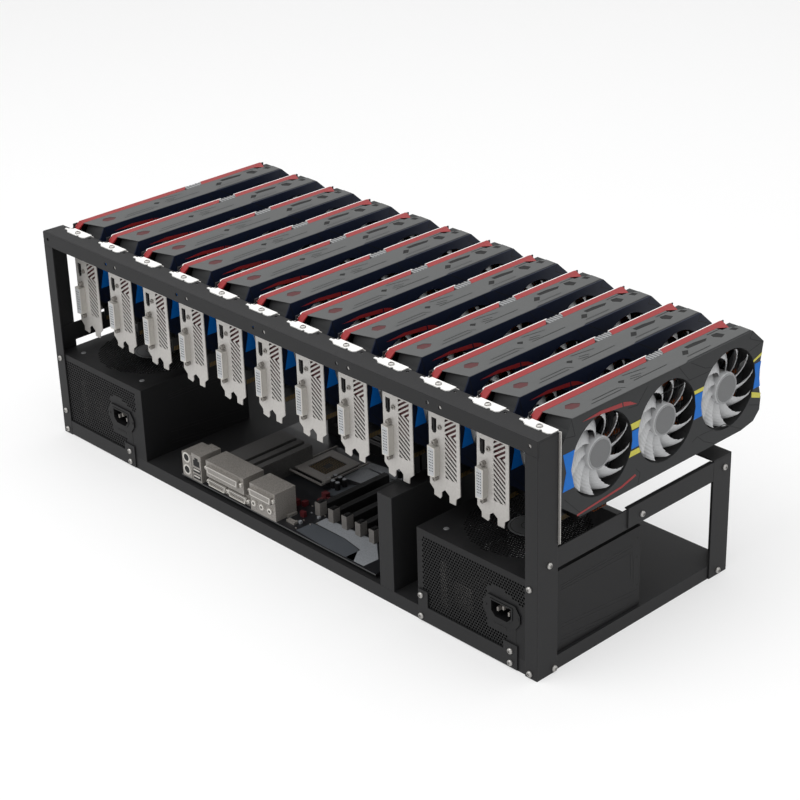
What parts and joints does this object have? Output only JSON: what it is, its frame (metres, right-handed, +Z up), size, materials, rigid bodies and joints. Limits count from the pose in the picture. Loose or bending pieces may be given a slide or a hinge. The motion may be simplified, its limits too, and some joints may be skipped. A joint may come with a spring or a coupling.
{
  "type": "mining rig frame",
  "caption": "Open steel rig frame with a row of upright triple-fan graphics cards over power supplies and a motherboard",
  "frame": {"origin": "on the floor, under the middle of the rig's overall length and depth", "axes": "+X along the frame to the right as seen from its front, +Y from front to back, +Z up"},
  "size_m": [0.7404, 0.3202, 0.2505],
  "materials": {
    "black_steel": "satin powder coat",
    "supply_steel": "matt powder coat",
    "fan_frame_plastic": "matt",
    "inlet_plastic": "matt",
    "board_laminate": "satin solder mask",
    "port_metal": "satin",
    "socket_plastic": "matt",
    "fin_aluminium": "satin",
    "cover_plastic": "fine-grained",
    "backplate_metal": "satin",
    "card_laminate": "satin solder mask",
    "bracket_steel": "satin",
    "screw_nickel": "bright",
    "fan_plastic": "satin"
  },
  "bodies": {
    "rig": {"base_tray": "black_steel", "corner_posts": "black_steel", "front_top_rail": "black_steel", "rear_top_rail": "black_steel", "side_rails": "black_steel", "divider_plate": "black_steel", "supply_retaining_plates": "black_steel", "supply_cases": "supply_steel", "supply_covers": "supply_steel", "supply_fan_frames": "fan_frame_plastic", "supply_inlets": "inlet_plastic", "motherboard": "board_laminate", "board_io_ports": "port_metal", "board_sockets": "socket_plastic", "board_heatsink": "fin_aluminium", "card_fan_covers": "cover_plastic", "card_backplates": "backplate_metal", "card_circuit_boards": "card_laminate", "card_heatsinks": "fin_aluminium", "card_brackets": "bracket_steel", "card_display_ports": "inlet_plastic", "pan_head_screws": "screw_nickel"},
    "card_01_fan_front": {"card_01_fan_front": "fan_plastic"},
    "card_01_fan_middle": {"card_01_fan_middle": "fan_plastic"},
    "card_01_fan_rear": {"card_01_fan_rear": "fan_plastic"},
    "card_02_fan_front": {"card_02_fan_front": "fan_plastic"},
    "card_02_fan_middle": {"card_02_fan_middle": "fan_plastic"},
    "card_02_fan_rear": {"card_02_fan_rear": "fan_plastic"},
    "card_03_fan_front": {"card_03_fan_front": "fan_plastic"},
    "card_03_fan_middle": {"card_03_fan_middle": "fan_plastic"},
    "card_03_fan_rear": {"card_03_fan_rear": "fan_plastic"},
    "card_04_fan_front": {"card_04_fan_front": "fan_plastic"},
    "card_04_fan_middle": {"card_04_fan_middle": "fan_plastic"},
    "card_04_fan_rear": {"card_04_fan_rear": "fan_plastic"},
    "card_05_fan_front": {"card_05_fan_front": "fan_plastic"},
    "card_05_fan_middle": {"card_05_fan_middle": "fan_plastic"},
    "card_05_fan_rear": {"card_05_fan_rear": "fan_plastic"},
    "card_06_fan_front": {"card_06_fan_front": "fan_plastic"},
    "card_06_fan_middle": {"card_06_fan_middle": "fan_plastic"},
    "card_06_fan_rear": {"card_06_fan_rear": "fan_plastic"},
    "card_07_fan_front": {"card_07_fan_front": "fan_plastic"},
    "card_07_fan_middle": {"card_07_fan_middle": "fan_plastic"},
    "card_07_fan_rear": {"card_07_fan_rear": "fan_plastic"},
    "card_08_fan_front": {"card_08_fan_front": "fan_plastic"},
    "card_08_fan_middle": {"card_08_fan_middle": "fan_plastic"},
    "card_08_fan_rear": {"card_08_fan_rear": "fan_plastic"},
    "card_09_fan_front": {"card_09_fan_front": "fan_plastic"},
    "card_09_fan_middle": {"card_09_fan_middle": "fan_plastic"},
    "card_09_fan_rear": {"card_09_fan_rear": "fan_plastic"},
    "card_10_fan_front": {"card_10_fan_front": "fan_plastic"},
    "card_10_fan_middle": {"card_10_fan_middle": "fan_plastic"},
    "card_10_fan_rear": {"card_10_fan_rear": "fan_plastic"},
    "card_11_fan_front": {"card_11_fan_front": "fan_plastic"},
    "card_11_fan_middle": {"card_11_fan_middle": "fan_plastic"},
    "card_11_fan_rear": {"card_11_fan_rear": "fan_plastic"},
    "card_12_fan_front": {"card_12_fan_front": "fan_plastic"},
    "card_12_fan_middle": {"card_12_fan_middle": "fan_plastic"},
    "card_12_fan_rear": {"card_12_fan_rear": "fan_plastic"},
    "supply_fan_left": {"supply_fan_left": "fan_plastic"},
    "supply_fan_right": {"supply_fan_right": "fan_plastic"}
  },
  "joints": [
    {"name": "card_01_fan_front_spin", "type": "hinge", "parent": "rig", "child": "card_01_fan_front", "pos_m": [-0.323, -0.0724, 0.2005], "axis": [1, 0, 0], "continuous": true},
    {"name": "card_01_fan_middle_spin", "type": "hinge", "parent": "rig", "child": "card_01_fan_middle", "pos_m": [-0.323, 0.018, 0.2005], "axis": [1, 0, 0], "continuous": true},
    {"name": "card_01_fan_rear_spin", "type": "hinge", "parent": "rig", "child": "card_01_fan_rear", "pos_m": [-0.323, 0.1084, 0.2005], "axis": [1, 0, 0], "continuous": true},
    {"name": "card_02_fan_front_spin", "type": "hinge", "parent": "rig", "child": "card_02_fan_front", "pos_m": [-0.261, -0.0724, 0.2005], "axis": [1, 0, 0], "continuous": true},
    {"name": "card_02_fan_middle_spin", "type": "hinge", "parent": "rig", "child": "card_02_fan_middle", "pos_m": [-0.261, 0.018, 0.2005], "axis": [1, 0, 0], "continuous": true},
    {"name": "card_02_fan_rear_spin", "type": "hinge", "parent": "rig", "child": "card_02_fan_rear", "pos_m": [-0.261, 0.1084, 0.2005], "axis": [1, 0, 0], "continuous": true},
    {"name": "card_03_fan_front_spin", "type": "hinge", "parent": "rig", "child": "card_03_fan_front", "pos_m": [-0.199, -0.0724, 0.2005], "axis": [1, 0, 0], "continuous": true},
    {"name": "card_03_fan_middle_spin", "type": "hinge", "parent": "rig", "child": "card_03_fan_middle", "pos_m": [-0.199, 0.018, 0.2005], "axis": [1, 0, 0], "continuous": true},
    {"name": "card_03_fan_rear_spin", "type": "hinge", "parent": "rig", "child": "card_03_fan_rear", "pos_m": [-0.199, 0.1084, 0.2005], "axis": [1, 0, 0], "continuous": true},
    {"name": "card_04_fan_front_spin", "type": "hinge", "parent": "rig", "child": "card_04_fan_front", "pos_m": [-0.137, -0.0724, 0.2005], "axis": [1, 0, 0], "continuous": true},
    {"name": "card_04_fan_middle_spin", "type": "hinge", "parent": "rig", "child": "card_04_fan_middle", "pos_m": [-0.137, 0.018, 0.2005], "axis": [1, 0, 0], "continuous": true},
    {"name": "card_04_fan_rear_spin", "type": "hinge", "parent": "rig", "child": "card_04_fan_rear", "pos_m": [-0.137, 0.1084, 0.2005], "axis": [1, 0, 0], "continuous": true},
    {"name": "card_05_fan_front_spin", "type": "hinge", "parent": "rig", "child": "card_05_fan_front", "pos_m": [-0.075, -0.0724, 0.2005], "axis": [1, 0, 0], "continuous": true},
    {"name": "card_05_fan_middle_spin", "type": "hinge", "parent": "rig", "child": "card_05_fan_middle", "pos_m": [-0.075, 0.018, 0.2005], "axis": [1, 0, 0], "continuous": true},
    {"name": "card_05_fan_rear_spin", "type": "hinge", "parent": "rig", "child": "card_05_fan_rear", "pos_m": [-0.075, 0.1084, 0.2005], "axis": [1, 0, 0], "continuous": true},
    {"name": "card_06_fan_front_spin", "type": "hinge", "parent": "rig", "child": "card_06_fan_front", "pos_m": [-0.013, -0.0724, 0.2005], "axis": [1, 0, 0], "continuous": true},
    {"name": "card_06_fan_middle_spin", "type": "hinge", "parent": "rig", "child": "card_06_fan_middle", "pos_m": [-0.013, 0.018, 0.2005], "axis": [1, 0, 0], "continuous": true},
    {"name": "card_06_fan_rear_spin", "type": "hinge", "parent": "rig", "child": "card_06_fan_rear", "pos_m": [-0.013, 0.1084, 0.2005], "axis": [1, 0, 0], "continuous": true},
    {"name": "card_07_fan_front_spin", "type": "hinge", "parent": "rig", "child": "card_07_fan_front", "pos_m": [0.049, -0.0724, 0.2005], "axis": [1, 0, 0], "continuous": true},
    {"name": "card_07_fan_middle_spin", "type": "hinge", "parent": "rig", "child": "card_07_fan_middle", "pos_m": [0.049, 0.018, 0.2005], "axis": [1, 0, 0], "continuous": true},
    {"name": "card_07_fan_rear_spin", "type": "hinge", "parent": "rig", "child": "card_07_fan_rear", "pos_m": [0.049, 0.1084, 0.2005], "axis": [1, 0, 0], "continuous": true},
    {"name": "card_08_fan_front_spin", "type": "hinge", "parent": "rig", "child": "card_08_fan_front", "pos_m": [0.111, -0.0724, 0.2005], "axis": [1, 0, 0], "continuous": true},
    {"name": "card_08_fan_middle_spin", "type": "hinge", "parent": "rig", "child": "card_08_fan_middle", "pos_m": [0.111, 0.018, 0.2005], "axis": [1, 0, 0], "continuous": true},
    {"name": "card_08_fan_rear_spin", "type": "hinge", "parent": "rig", "child": "card_08_fan_rear", "pos_m": [0.111, 0.1084, 0.2005], "axis": [1, 0, 0], "continuous": true},
    {"name": "card_09_fan_front_spin", "type": "hinge", "parent": "rig", "child": "card_09_fan_front", "pos_m": [0.173, -0.0724, 0.2005], "axis": [1, 0, 0], "continuous": true},
    {"name": "card_09_fan_middle_spin", "type": "hinge", "parent": "rig", "child": "card_09_fan_middle", "pos_m": [0.173, 0.018, 0.2005], "axis": [1, 0, 0], "continuous": true},
    {"name": "card_09_fan_rear_spin", "type": "hinge", "parent": "rig", "child": "card_09_fan_rear", "pos_m": [0.173, 0.1084, 0.2005], "axis": [1, 0, 0], "continuous": true},
    {"name": "card_10_fan_front_spin", "type": "hinge", "parent": "rig", "child": "card_10_fan_front", "pos_m": [0.235, -0.0724, 0.2005], "axis": [1, 0, 0], "continuous": true},
    {"name": "card_10_fan_middle_spin", "type": "hinge", "parent": "rig", "child": "card_10_fan_middle", "pos_m": [0.235, 0.018, 0.2005], "axis": [1, 0, 0], "continuous": true},
    {"name": "card_10_fan_rear_spin", "type": "hinge", "parent": "rig", "child": "card_10_fan_rear", "pos_m": [0.235, 0.1084, 0.2005], "axis": [1, 0, 0], "continuous": true},
    {"name": "card_11_fan_front_spin", "type": "hinge", "parent": "rig", "child": "card_11_fan_front", "pos_m": [0.297, -0.0724, 0.2005], "axis": [1, 0, 0], "continuous": true},
    {"name": "card_11_fan_middle_spin", "type": "hinge", "parent": "rig", "child": "card_11_fan_middle", "pos_m": [0.297, 0.018, 0.2005], "axis": [1, 0, 0], "continuous": true},
    {"name": "card_11_fan_rear_spin", "type": "hinge", "parent": "rig", "child": "card_11_fan_rear", "pos_m": [0.297, 0.1084, 0.2005], "axis": [1, 0, 0], "continuous": true},
    {"name": "card_12_fan_front_spin", "type": "hinge", "parent": "rig", "child": "card_12_fan_front", "pos_m": [0.359, -0.0724, 0.2005], "axis": [1, 0, 0], "continuous": true},
    {"name": "card_12_fan_middle_spin", "type": "hinge", "parent": "rig", "child": "card_12_fan_middle", "pos_m": [0.359, 0.018, 0.2005], "axis": [1, 0, 0], "continuous": true},
    {"name": "card_12_fan_rear_spin", "type": "hinge", "parent": "rig", "child": "card_12_fan_rear", "pos_m": [0.359, 0.1084, 0.2005], "axis": [1, 0, 0], "continuous": true},
    {"name": "supply_fan_left_spin", "type": "hinge", "parent": "rig", "child": "supply_fan_left", "pos_m": [-0.2882, -0.0834, 0.09], "axis": [0, 0, 1], "continuous": true},
    {"name": "supply_fan_right_spin", "type": "hinge", "parent": "rig", "child": "supply_fan_right", "pos_m": [0.2882, -0.0834, 0.09], "axis": [0, 0, 1], "continuous": true}
  ]
}
